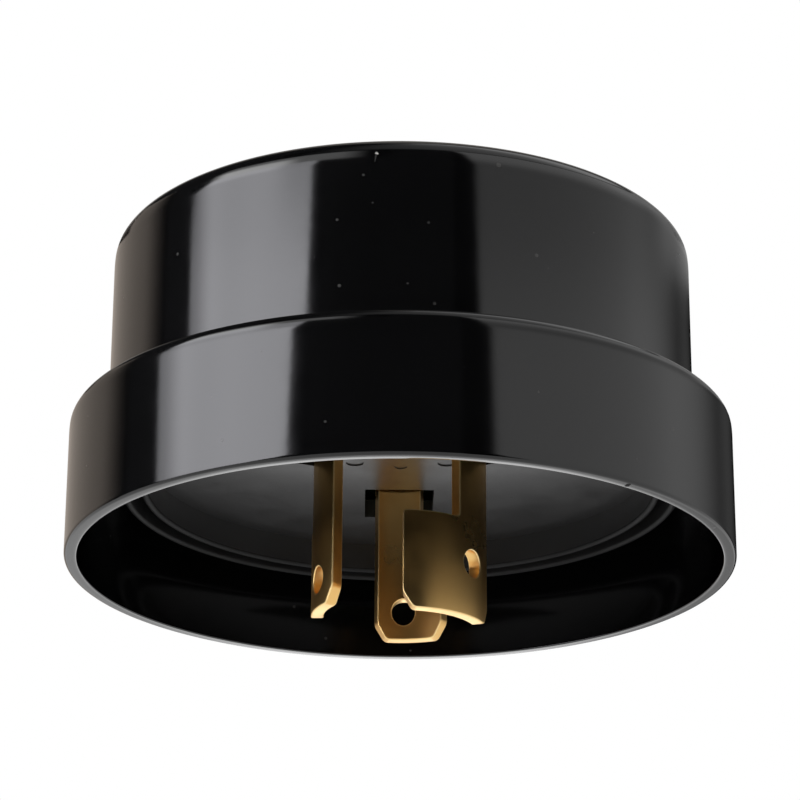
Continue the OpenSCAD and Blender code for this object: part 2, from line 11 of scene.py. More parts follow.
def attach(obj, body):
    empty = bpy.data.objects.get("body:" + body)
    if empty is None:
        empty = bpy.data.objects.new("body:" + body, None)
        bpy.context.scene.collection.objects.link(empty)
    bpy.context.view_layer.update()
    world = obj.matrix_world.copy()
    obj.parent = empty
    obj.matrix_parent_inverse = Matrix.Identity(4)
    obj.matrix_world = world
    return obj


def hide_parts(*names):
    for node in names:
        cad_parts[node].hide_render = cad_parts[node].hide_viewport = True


bl_info = {
    "name": "Photocell switch",
    "version": (1, 0, 0),
    "blender": (4, 5, 0),
    "location": "View3D > Sidebar > Photocell",
    "description": "Dresses a twist-lock photocell switch and its studio",
    "category": "Object",
}

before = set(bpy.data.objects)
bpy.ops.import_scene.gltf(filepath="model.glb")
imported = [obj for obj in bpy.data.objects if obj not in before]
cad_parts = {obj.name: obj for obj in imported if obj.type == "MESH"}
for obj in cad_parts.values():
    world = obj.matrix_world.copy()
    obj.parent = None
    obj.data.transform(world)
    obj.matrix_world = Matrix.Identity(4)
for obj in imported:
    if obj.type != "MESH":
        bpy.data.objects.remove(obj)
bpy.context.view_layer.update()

MM = 0.001
TINY = 1e-7
BODY = "root"
# Steps round a turned moulding, a rod and a hole in a sheet
TURN_STEPS, ROD_STEPS, HOLE_STEPS = 288, 64, 48
# Steps in a softened corner of an outline and in a sheet's rounded edge
CORNER_STEPS, EDGE_STEPS = 4, 4
# Degrees between faces from which an edge of a moulding stays sharp
SHARP_ANGLE = 35
# Attribute that carries a sheet's normals while it is bent
SHEET_NORMAL = "sheet_normal"


def colour(name, text, default):
    """A colour that a user may change."""
    return FloatVectorProperty(
        name=name, description=text, default=default, size=3, min=0.0, max=1.0, subtype="COLOR")


def length(name, text, default):
    """A length in metres that a user may change."""
    return FloatProperty(name=name, description=text, default=default, unit="LENGTH", precision=5)


def factor(name, text, default):
    """A share from 0 to 1 that a user may change."""
    return FloatProperty(
        name=name, description=text, default=default, min=0.0, max=1.0, subtype="FACTOR")


def brightness(name, text, default):
    """A panel's brightness that a user may change; 1 is white."""
    return FloatProperty(name=name, description=text, default=default, min=0.0)


class PlasticFinish(bpy.types.PropertyGroup):
    """Finish of the black mouldings and the clear window."""

    cover_colour: colour("Cover", "Colour of the moulded cover", (0.0022, 0.0022, 0.0024))
    cover_gloss: factor("Cover roughness", "Roughness of the polished cover", 0.09)
    base_colour: colour("Base", "Colour of the moulded base", (0.011, 0.011, 0.0112))
    base_gloss: factor("Base roughness", "Roughness of the base's face", 0.34)
    ring_gloss: factor("Ring roughness", "Roughness of the rings under the base", 0.45)
    dust_colour: colour("Dust", "Colour of the dust specks", (0.035, 0.034, 0.032))
    lens_colour: colour("Window", "Tint of the clear window", (0.93, 0.95, 0.95))


class BladeFinish(bpy.types.PropertyGroup):
    """Sizes and finish of the three hooked blades."""

    outer_radius: length("Outer radius", "Radius of the blades' outer face", 10.9 * MM)
    thickness: length("Thickness", "Thickness of the brass sheet", 1.55 * MM)
    edge_round: length("Edge rounding", "Rounding left by stamping", 0.16 * MM)
    bright: colour("Bright brass", "Brass where it is rubbed", (0.93, 0.62, 0.24))
    dull: colour("Dull brass", "Brass where it has tarnished", (0.77, 0.46, 0.155))
    # Lighter brass on the rounded edges: partly fresh sheared metal, partly a painted highlight
    # along the edges
    rubbed: colour("Rubbed edge", "Brass along the sheared edges", (0.96, 0.76, 0.4))
    roughness: factor("Roughness", "Roughness of the brass", 0.3)
    edge_roughness: factor("Edge roughness", "Roughness of the sheared edges", 0.42)


class CircuitFinish(bpy.types.PropertyGroup):
    """Colours of the board and the parts on it."""

    resist: colour("Solder resist", "Colour of the board", (0.015, 0.11, 0.045))
    track: colour("Tracks", "Colour of the resist over copper", (0.03, 0.19, 0.075))
    epoxy: colour("Black epoxy", "Colour of the black packages", (0.012, 0.012, 0.013))
    pale_epoxy: colour("Pale epoxy", "Colour of the driver chip", (0.72, 0.72, 0.68))
    film_case: colour("Film case", "Colour of the dropper capacitor", (0.58, 0.36, 0.03))
    can_sleeve: colour("Sleeve", "Colour of the smoothing capacitor", (0.015, 0.03, 0.09))
    dipped: colour("Dipped coat", "Colour of the surge varistor", (0.02, 0.13, 0.38))
    lacquer: colour("Lacquer", "Colour of the resistors", (0.55, 0.38, 0.2))
    cell: colour("Cell", "Colour of the light sensor's face", (0.42, 0.09, 0.025))


class StudioSettings(bpy.types.PropertyGroup):
    """Camera and light."""

    camera_back: length("Camera back", "How far the camera stands in front of the axis", 0.352228)
    camera_drop: length("Camera drop", "How far the camera stands below the rim", 0.1123)
    aim_height: length("Aim height", "Height above the rim that the camera looks at", 0.022135)
    aim_aside: length("Aim aside", "How far to the right of the axis the camera looks", -0.000118)
    camera_roll: FloatProperty(
        name="Camera roll", description="Roll of the camera",
        default=math.radians(0.292), subtype="ANGLE")
    focal: FloatProperty(
        name="Focal length", description="Lens in millimetres", default=134.71, unit="CAMERA")
    floor_drop: length("Floor", "How far the floor lies below the rim", 0.6)
    key: brightness("Key", "Brightness of the left softbox", 6.0)
    fill: brightness("Fill", "Brightness of the right reflector", 0.9)
    card: brightness("Card", "Brightness of the low card behind", 2.4)
    overhead: brightness("Overhead", "Brightness of the top softbox", 1.5)


class Nodes:
    """A small helper that lays out one node tree."""

    def __init__(self, owner, output):
        owner.use_nodes = True
        self.tree = owner.node_tree
        self.tree.nodes.clear()
        self.out = self.node(output)

    def node(self, kind, numbers=None, **values):
        """A new node, with numbers on its sockets and values on itself."""
        made = self.tree.nodes.new(kind)
        for key, value in values.items():
            setattr(made, key, value)
        for key, number in (numbers or {}).items():
            made.inputs[key].default_value = number
        return made

    def link(self, a, b):
        self.tree.links.new(a, b)

    def math(self, kind, a, b):
        made = self.node("ShaderNodeMath", operation=kind)
        for socket, value in zip(made.inputs, (a, b)):
            if isinstance(value, (int, float)):
                socket.default_value = value
            else:
                self.link(value, socket)
        return made.outputs["Value"]

    def most(self, found, *others):
        """The largest of a few values."""
        for value in others:
            found = self.math("MAXIMUM", found, value)
        return found

    def choose(self, share, plain, white):
        """Shows the plain shader and, by the share, the white one."""
        both = self.node("ShaderNodeMixShader")
        for socket, value in zip(both.inputs, (share, plain, white)):
            self.link(value, socket)
        self.link(both.outputs["Shader"], self.out.inputs["Surface"])


class Shader(Nodes):
    """Lays out one surface material."""

    # Sockets of the Mix node while it mixes colours
    COLOUR_A, COLOUR_B, COLOUR_OUT = 6, 7, 2

    def __init__(self, name):
        self.material = bpy.data.materials.new(name)
        super().__init__(self.material, "ShaderNodeOutputMaterial")
        self.main = self.node("ShaderNodeBsdfPrincipled")
        self.link(self.main.outputs["BSDF"], self.out.inputs["Surface"])
        self.place = self.node("ShaderNodeTexCoord").outputs["Object"]

    def put(self, **values):
        """Sets numbers on the surface's own sockets."""
        for key, value in values.items():
            self.main.inputs[key.replace("_", " ")].default_value = value

    def feed(self, socket, value):
        """Links a value to one of the surface's sockets."""
        self.link(value, self.main.inputs[socket])

    def stretched(self, x, y, z):
        """The place on the object, scaled along each axis."""
        made = self.node("ShaderNodeMapping", {"Scale": (x, y, z)})
        self.link(self.place, made.inputs["Vector"])
        return made.outputs["Vector"]

    def noise(self, scale, detail=3.0, rough=0.5, vector=None):
        made = self.node(
            "ShaderNodeTexNoise", {"Scale": scale, "Detail": detail, "Roughness": rough})
        self.link(vector or self.place, made.inputs["Vector"])
        return made.outputs["Fac"]

    def spread(self, value, low=0.0, high=1.0, start=0.3, end=0.7):
        """A value moved from one range to another; noise lies mostly within 0.3 to 0.7."""
        made = self.node("ShaderNodeMapRange", {
            "From Min": start, "From Max": end, "To Min": low, "To Max": high})
        self.link(value, made.inputs["Value"])
        return made.outputs["Result"]

    def mix(self, share, a, b):
        """A colour between two, each given as a socket or as numbers."""
        made = self.node("ShaderNodeMix", data_type="RGBA")
        self.link(share, made.inputs["Factor"])
        for index, value in ((self.COLOUR_A, a), (self.COLOUR_B, b)):
            if hasattr(value, "is_linked"):
                self.link(value, made.inputs[index])
            else:
                made.inputs[index].default_value = (*value, 1.0)
        return made.outputs[self.COLOUR_OUT]

    def bump(self, value, strength, distance):
        made = self.node("ShaderNodeBump", {"Strength": strength, "Distance": distance})
        self.link(value, made.inputs["Height"])
        self.feed("Normal", made.outputs["Normal"])

    def specks(self, scale, share, size):
        """1 inside a few scattered specks, and 0 elsewhere."""
        cells = self.node("ShaderNodeTexVoronoi", {"Scale": scale})
        self.link(self.place, cells.inputs["Vector"])
        pick = self.node("ShaderNodeSeparateColor")
        self.link(cells.outputs["Color"], pick.inputs["Color"])
        chosen = self.math("GREATER_THAN", pick.outputs["Red"], 1.0 - share)
        wide = self.math("MULTIPLY", pick.outputs["Green"], size)
        inside = self.math("LESS_THAN", cells.outputs["Distance"], wide)
        return self.math("MULTIPLY", chosen, inside)

    def flecks(self, spots):
        """1 within each spot's radius, and 0 elsewhere; spots are in millimetres."""
        found = []
        for *point, radius in spots:
            gap = self.node("ShaderNodeVectorMath", operation="DISTANCE")
            self.link(self.place, gap.inputs[0])
            gap.inputs[1].default_value = [c * MM for c in point]
            found.append(self.math("LESS_THAN", gap.outputs["Value"], radius * MM))
        return self.most(*found)


def shade(tint, share):
    """A colour made darker or lighter, and no lighter than white."""
    return [min(1.0, c * share) for c in tint]


def moulded_black(name, tint, roughness, index, dust, share, grain, spots=(), chips=(), nicks=()):
    """Moulded black plastic with a faint surface wave, specks of dust, chips and nicks."""
    s = Shader(name)
    s.put(IOR=index)
    specks = s.specks(scale=700.0, share=share, size=0.17)
    if spots:
        specks = s.math("MAXIMUM", specks, s.flecks(spots))
    cloud = s.spread(s.noise(scale=70.0, detail=4.0))
    body = s.mix(cloud, shade(tint, 0.8), shade(tint, 1.25))
    body = s.mix(specks, body, dust)
    if chips:
        bare = shade(dust, 14.0)
        body = s.mix(s.flecks(chips), body, bare)
    s.feed("Base Color", body)
    patches = s.noise(scale=160.0, detail=5.0, rough=0.65)
    even = s.spread(patches, low=roughness * 0.85, high=roughness * 1.2)
    dusty = s.math("MULTIPLY", specks, 0.2)
    even = s.math("ADD", even, dusty)
    if nicks:
        even = s.math("MAXIMUM", even, s.flecks(nicks))
    s.feed("Roughness", even)
    s.bump(s.noise(scale=grain, detail=2.0), strength=0.04, distance=0.04 * MM)
    return s.material


def clear_moulding(name, tint):
    """Clear moulded plastic for the light window."""
    s = Shader(name)
    s.put(IOR=1.49, Transmission_Weight=1.0)
    s.feed("Base Color", s.mix(s.noise(scale=120.0), shade(tint, 0.96), tint))
    s.feed("Roughness", s.spread(s.noise(scale=300.0, detail=4.0), low=0.02, high=0.08))
    s.bump(s.noise(scale=220.0, detail=1.0), strength=0.03, distance=0.05 * MM)
    return s.material


def stamped_brass(name, bright, dull, roughness):
    """Stamped brass sheet: fine rolled streaks and soft tarnish."""
    s = Shader(name)
    s.put(Metallic=1.0)
    rubbed = s.spread(s.noise(scale=150.0), start=0.2, end=0.8)
    rolled = s.noise(scale=1.0, detail=1.0, vector=s.stretched(900.0, 900.0, 120.0))
    streaked = s.math("MULTIPLY", rubbed, s.spread(rolled, low=0.86, high=1.0))
    s.feed("Base Color", s.mix(streaked, dull, bright))
    s.feed("Roughness", s.spread(
        rubbed, low=roughness * 1.3, high=roughness * 0.8, start=0.0, end=1.0))
    return s.material


def plated_metal(name, tint, roughness, streak):
    """Bare or plated metal with fine streaks."""
    s = Shader(name)
    s.put(Metallic=1.0)
    lines = s.noise(scale=1.0, rough=0.6, vector=s.stretched(*streak))
    s.feed("Base Color", s.mix(s.spread(lines), shade(tint, 0.78), tint))
    s.feed("Roughness", s.spread(lines, low=roughness * 0.75, high=roughness * 1.3))
    s.bump(lines, strength=0.15, distance=0.03 * MM)
    return s.material


def part_coat(name, tint, roughness, scale=420.0):
    """Moulded, dipped or lacquered coat of a circuit part."""
    s = Shader(name)
    s.put(IOR=1.5)
    cloud = s.noise(scale=scale, detail=5.0, rough=0.6)
    s.feed("Base Color", s.mix(s.spread(cloud), shade(tint, 0.75), tint))
    s.feed("Roughness", s.spread(cloud, low=roughness * 0.8, high=min(1.0, roughness * 1.3)))
    s.bump(s.noise(scale=scale * 5.0, detail=2.0), strength=0.1, distance=0.04 * MM)
    return s.material


def board_resist(name, resist, track):
    """Green solder resist over a net of copper tracks."""
    s = Shader(name)
    s.put(IOR=1.5)
    cells = s.node("ShaderNodeTexVoronoi", {"Scale": 210.0}, distance="MANHATTAN", feature="F2")
    s.link(s.place, cells.inputs["Vector"])
    copper = s.spread(cells.outputs["Distance"], start=0.55, end=0.6)
    s.feed("Base Color", s.mix(copper, resist, track))
    s.feed("Roughness", s.spread(s.noise(scale=500.0), low=0.25, high=0.4))
    s.bump(copper, strength=0.3, distance=0.04 * MM)
    return s.material


def cell_face(name, tint, electrode):
    """Light sensor: wavy bands of pale electrode over the cell."""
    s = Shader(name)
    s.put(IOR=1.5)
    wave = s.node("ShaderNodeTexWave", {"Scale": 330.0, "Distortion": 2.0}, bands_direction="X")
    s.link(s.place, wave.inputs["Vector"])
    line = s.spread(wave.outputs["Fac"], start=0.45, end=0.55)
    s.feed("Base Color", s.mix(line, tint, electrode))
    s.feed("Roughness", s.spread(s.noise(scale=700.0), low=0.2, high=0.35))
    return s.material


def dress(node, material):
    """Gives a carried-over node its material."""
    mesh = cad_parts[node].data
    mesh.materials.clear()
    mesh.materials.append(material)


def placed(name, data):
    """A new object in the scene."""
    made = bpy.data.objects.new(name, data)
    bpy.context.scene.collection.objects.link(made)
    return made


def piece(name, mesh, material, node):
    """A new piece that stands for a node."""
    made = placed(name, mesh)
    mesh.materials.append(material)
    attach(made, BODY)
    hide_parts(node)
    return made


def mesh_from(bm, name):
    """The mesh of a finished shape, which is freed."""
    mesh = bpy.data.meshes.new(name)
    bm.to_mesh(mesh)
    bm.free()
    return mesh


def smooth(mesh):
    """Smooth shading, apart from the sharp edges."""
    mesh.shade_smooth()
    mesh.set_sharp_from_angle(angle=math.radians(SHARP_ANGLE))


def faced_out(bm):
    """The closed shape with its faces turned outward."""
    bm.normal_update()
    bmesh.ops.recalc_face_normals(bm, faces=bm.faces[:])
    return bm


def neighbours(points):
    """Each point of a closed outline with the ones before and after it."""
    return zip(points[-1:] + points[:-1], points, points[1:] + points[:1])


def softened(points, size):
    """The outline with each corner rounded off."""
    made = []
    for a, p, b in neighbours(points):
        corner = Vector(p)
        start = corner + (Vector(a) - corner).normalized() * size
        end = corner + (Vector(b) - corner).normalized() * size
        for i in range(CORNER_STEPS + 1):
            u = i / CORNER_STEPS
            made.append(tuple(start * (1 - u) ** 2 + corner * 2 * u * (1 - u) + end * u ** 2))
    return made


def inset(points, gap):
    """The outline moved in by a gap, with its outward directions; it runs anticlockwise."""
    made = []
    for a, p, b in neighbours(points):
        into = (Vector(p) - Vector(a)).normalized()
        away = (Vector(b) - Vector(p)).normalized()
        n = Vector((-into.y, into.x)) + Vector((-away.y, away.x))
        k = gap / (1.0 + into.dot(away))
        made.append((Vector(p) + k * n, -n.normalized()))
    return made


def ringed(hole, radius):
    """A hole's edge, with its directions towards the middle; it runs clockwise."""
    turns = [-2 * math.pi * i / HOLE_STEPS for i in range(HOLE_STEPS)]
    ways = [Vector((math.cos(turn), math.sin(turn))) for turn in turns]
    return [(Vector(hole) + way * radius, -way) for way in ways]


def sheet_from_outline(outline, hole, hole_radius, step, thickness, rounding):
    """A flat sheet with round edges and one hole, cut in strips along x so that it can be bent."""
    bm = bmesh.new()
    normal = bm.verts.layers.float_vector.new(SHEET_NORMAL)
    # Rows over one face's rounded edge, then over the other's: how far in from the outline,
    # how deep in the sheet, and the normal's share along the sheet and across it
    tilts = [math.pi / 2 * i / EDGE_STEPS for i in range(EDGE_STEPS + 1)]
    layers = [
        ((1 - math.sin(q)) * rounding, (1 - math.cos(q)) * rounding, math.sin(q), -math.cos(q))
        for q in tilts]
    layers += [(gap, thickness - y, aside, -up) for gap, y, aside, up in reversed(layers)]
    shapes = []
    for gap, y, aside, up in layers:
        shape = []
        for ring in (inset(outline, gap), ringed(hole, hole_radius + gap)):
            row = []
            for place, way in ring:
                row.append(bm.verts.new((place.x, y, place.y)))
                row[-1][normal] = (way.x * aside, up, way.y * aside)
            shape.append(row)
        shapes.append(shape)
    # The rounded edges take the second material, and the flat between them the first
    for k, (below, above) in enumerate(zip(shapes, shapes[1:])):
        for a, b in zip(below, above):
            for i in range(len(a)):
                face = bm.faces.new((a[i - 1], a[i], b[i], b[i - 1]))
                face.material_index = 0 if k == EDGE_STEPS else 1
    for shape in (shapes[0], shapes[-1]):
        edges = [bm.edges.get((ring[i - 1], ring[i])) for ring in shape for i in range(len(ring))]
        bmesh.ops.triangle_fill(bm, edges=edges, use_beauty=True, use_dissolve=False)
    low = min(x for x, z in outline)
    high = max(x for x, z in outline)
    count = max(2, round((high - low) / step))
    for i in range(1, count):
        bmesh.ops.bisect_plane(
            bm, geom=bm.verts[:] + bm.edges[:] + bm.faces[:], dist=TINY,
            plane_co=(low + (high - low) * i / count, 0.0, 0.0), plane_no=(1.0, 0.0, 0.0))
    return faced_out(bm)


def arc_points(x, z, radius, start, end, steps):
    """Points on an arc, with angles in degrees."""
    turns = [math.radians(start + (end - start) * i / steps) for i in range(steps + 1)]
    return [(x + radius * math.cos(t), z + radius * math.sin(t)) for t in turns]


def turned(section):
    """A body turned about the z axis from an open section that starts and ends on the axis."""
    bm = bmesh.new()
    rows = []
    turns = [2 * math.pi * i / TURN_STEPS for i in range(TURN_STEPS)]
    for r, z in section:
        if r < TINY:
            rows.append([bm.verts.new((0.0, 0.0, z))] * TURN_STEPS)
        else:
            rows.append([bm.verts.new((r * math.cos(a), r * math.sin(a), z)) for a in turns])
    for a, b in zip(rows, rows[1:]):
        for i in range(TURN_STEPS):
            j = (i + 1) % TURN_STEPS
            corners = []
            for v in (a[i], b[i], b[j], a[j]):
                if v not in corners:
                    corners.append(v)
            bm.faces.new(corners)
    return faced_out(bm)


def at(x, y, z):
    """A move in millimetres."""
    return Matrix.Translation((x * MM, y * MM, z * MM))


def spun(degrees):
    """A turn about the z axis."""
    return Matrix.Rotation(math.radians(degrees), 4, "Z")


def add_block(bm, size, place):
    """Adds a block, its size in millimetres."""
    made = bmesh.ops.create_cube(bm, size=1.0)["verts"]
    grown = Matrix.Diagonal((*[c * MM for c in size], 1.0))
    bmesh.ops.transform(bm, matrix=place @ grown, verts=made)


def add_rod(bm, radius, low, high, place, top=None):
    """Adds an upright rod between two heights in millimetres, tapered if its top has a radius."""
    made = bmesh.ops.create_cone(
        bm, cap_ends=True, segments=ROD_STEPS,
        radius1=radius * MM, radius2=(top or radius) * MM, depth=(high - low) * MM)
    bmesh.ops.transform(bm, matrix=place @ at(0, 0, (low + high) / 2), verts=made["verts"])


def carve(target, bm):
    """Cuts the given closed shapes out of a piece, and shades it smooth."""
    mesh = mesh_from(bm, "cutter")
    cutter = placed("cutter", mesh)
    cut = target.modifiers.new("carved", "BOOLEAN")
    cut.operation = "DIFFERENCE"
    cut.object = cutter
    bpy.context.view_layer.update()
    shaped = target.evaluated_get(bpy.context.evaluated_depsgraph_get())
    done = bpy.data.meshes.new_from_object(shaped)
    target.modifiers.remove(cut)
    old = target.data
    target.data = done
    done.name = old.name + "_carved"
    bpy.data.meshes.remove(old)
    bpy.data.objects.remove(cutter)
    bpy.data.meshes.remove(mesh)
    smooth(done)


class Piece:
    """What the operators share."""

    bl_options = {"REGISTER", "UNDO"}

    @property
    def plastic(self):
        return bpy.context.scene.photocell_plastic

    @property
    def brass(self):
        return bpy.context.scene.photocell_blades

    @property
    def circuit(self):
        return bpy.context.scene.photocell_circuit

    @property
    def studio(self):
        return bpy.context.scene.photocell_studio


class PHOTOCELL_OT_cover(Piece, bpy.types.Operator):
    """Polished black cover"""

    bl_idname = "photocell.cover"
    bl_label = "Cover"

    # Millimetres: radii of the skirt, the body and their bores, then heights and walls
    SKIRT_R, BODY_R, SKIRT_BORE, BORE = 41.3, 36.55, 39.7, 34.95
    SKIRT_H, COVER_H, WALL, CROWN_T = 17.7, 41.4, 1.6, 1.8
    # Rounded edges, and how near to a round the next row of the flat stands
    CROWN_ROUND, SHOULDER_ROUND, RIM_ROUND, BORE_ROUND, NEAR = 2.2, 1.2, 0.4, 0.15, 0.15
    CROWN_STEPS, SHOULDER_STEPS, RIM_STEPS = 14, 9, 6
    # How far before a round the wall begins to lean, and its tilt there in degrees
    CROWN_EASE, SHOULDER_EASE, EASE_TILT = 1.3, 1.0, 5.0
    EASE_ROWS = (0.8, 0.6, 0.4, 0.2, 0.0)
    # Rows that keep the flats' faces short
    CROWN_ROWS, BODY_ROWS, LEDGE_ROW = (12.0, 24.0), (33.0, 28.0, 23.0), 2.0
    SKIRT_ROWS, BORE_ROWS = (12.0, 8.0, 4.0), (24.0, 30.0, 36.0)
    # Groove for the base's bead, and the stop ribs with their overlap into the wall
    BEAD_Z, BEAD = 18.5, 0.65
    RIBS, RIB_T, RIB_DEPTH, RIB_LOW, RIB_HIGH, LAP = 6, 1.6, 2.0, 20.0, 40.5, 0.4
    WINDOW_D, WINDOW_Z, WINDOW_CUT = 11.4, 30.65, 6
    # Dust, a chip in the crown's edge and nicks in the rim: place and radius
    SPOTS = (
        (-26.7, -24.9, 31.1, 0.2), (-4.5, -36.3, 36.3, 0.17), (-7.5, -35.8, 30.8, 0.17),
        (3.8, -36.4, 20.1, 0.2), (3.1, -36.4, 30.2, 0.16), (31.6, -26.6, 8.5, 0.2),
        (-8.4, -40.4, 4.1, 0.16), (0.7, -36.5, 22.5, 0.14), (-3.4, -36.4, 32.7, 0.12),
        (15.5, -38.3, 8.6, 0.15), (11.3, -34.76, 38.4, 0.3),
        (-3.05, -36.42, 38.75, 0.1), (-3.08, -36.42, 38.6, 0.1), (-3.1, -36.42, 38.45, 0.09),
        (-3.12, -36.42, 38.3, 0.08), (-3.15, -36.41, 38.15, 0.07), (-3.18, -36.41, 38.0, 0.06),
    )
    CHIPS = ((-3.0, -36.42, 39.05, 0.16), (-2.85, -36.43, 38.95, 0.1))
    NICKS = ((25.74, -31.0, 0.0, 0.3), (25.86, -31.45, 0.0, 0.3))

    def eased_round(self, radius, top, size, ease, steps):
        """A round from a flat top to a wall that leans in a little before it."""
        tilt = math.radians(self.EASE_TILT)
        lean = ease * math.tan(tilt) / 2
        low = top - size + size * math.sin(tilt) - ease
        middle = radius - lean - size * math.cos(tilt)
        edge = arc_points(middle, top - size, size, 90, self.EASE_TILT, steps)
        edge += [(radius - lean * u * u, low + ease * u) for u in self.EASE_ROWS]
        return edge + [(radius, low - self.NEAR)]

    def section(self):
        """The moulding's section, from the axis over the crown and back inside."""
        crown = self.BODY_R - self.CROWN_ROUND - self.NEAR
        under_crown, under_ledge = self.COVER_H - self.CROWN_T, self.SKIRT_H - self.WALL
        rim, bore = self.RIM_ROUND, self.BORE_ROUND
        edge = [(r, self.COVER_H) for r in (0.0, *self.CROWN_ROWS, crown)]
        edge += self.eased_round(
            self.BODY_R, self.COVER_H, self.CROWN_ROUND, self.CROWN_EASE, self.CROWN_STEPS)
        edge += [(self.BODY_R, z) for z in (*self.BODY_ROWS, self.SKIRT_H)]
        edge += [(self.BODY_R + self.LEDGE_ROW, self.SKIRT_H)]
        edge += self.eased_round(
            self.SKIRT_R, self.SKIRT_H, self.SHOULDER_ROUND, self.SHOULDER_EASE,
            self.SHOULDER_STEPS)
        edge += [(self.SKIRT_R, z) for z in (*self.SKIRT_ROWS, rim + self.NEAR)]
        edge += arc_points(self.SKIRT_R - rim, rim, rim, 0, -90, self.RIM_STEPS)
        edge += arc_points(self.SKIRT_BORE + bore, bore, bore, 270, 180, self.RIM_STEPS)
        edge += [(self.SKIRT_BORE, z) for z in (
            bore + self.NEAR, *reversed(self.SKIRT_ROWS), under_ledge)]
        edge += [(self.BORE, z) for z in (under_ledge, self.BEAD_Z - self.BEAD)]
        edge += [(self.BORE + self.BEAD, self.BEAD_Z)]
        edge += [(self.BORE, z) for z in (self.BEAD_Z + self.BEAD, *self.BORE_ROWS, under_crown)]
        edge += [(r, under_crown) for r in (*reversed(self.CROWN_ROWS), 0.0)]
        return [(r * MM, z * MM) for r, z in edge]

    def execute(self, context):
        look = self.plastic
        bm = turned(self.section())
        rib_size = (self.RIB_DEPTH + self.LAP, self.RIB_T, self.RIB_HIGH - self.RIB_LOW)
        rib_out = self.BORE - self.RIB_DEPTH / 2 + self.LAP / 2
        rib_up = (self.RIB_LOW + self.RIB_HIGH) / 2
        for i in range(self.RIBS):
            add_block(bm, rib_size, spun(360 * i / self.RIBS) @ at(rib_out, 0, rib_up))
        finish = moulded_black(
            "polished_black_moulding", look.cover_colour, look.cover_gloss, index=1.5,
            dust=look.dust_colour, share=0.06, grain=900.0,
            spots=self.SPOTS, chips=self.CHIPS, nicks=self.NICKS)
        mesh = mesh_from(bm, "cover_moulding")
        made = piece("cover_moulding", mesh, finish, "cover")
        window = bmesh.new()
        add_rod(
            window, self.WINDOW_D / 2, -self.WINDOW_CUT, self.WINDOW_CUT,
            at(0, self.BODY_R, self.WINDOW_Z) @ Matrix.Rotation(math.pi / 2, 4, "X"))
        carve(made, window)
        return {"FINISHED"}


class PHOTOCELL_OT_window(Piece, bpy.types.Operator):
    """Clear light window"""

    bl_idname = "photocell.window"
    bl_label = "Light window"

    def execute(self, context):
        dress("window_lens", clear_moulding("clear_window_moulding", self.plastic.lens_colour))
        return {"FINISHED"}


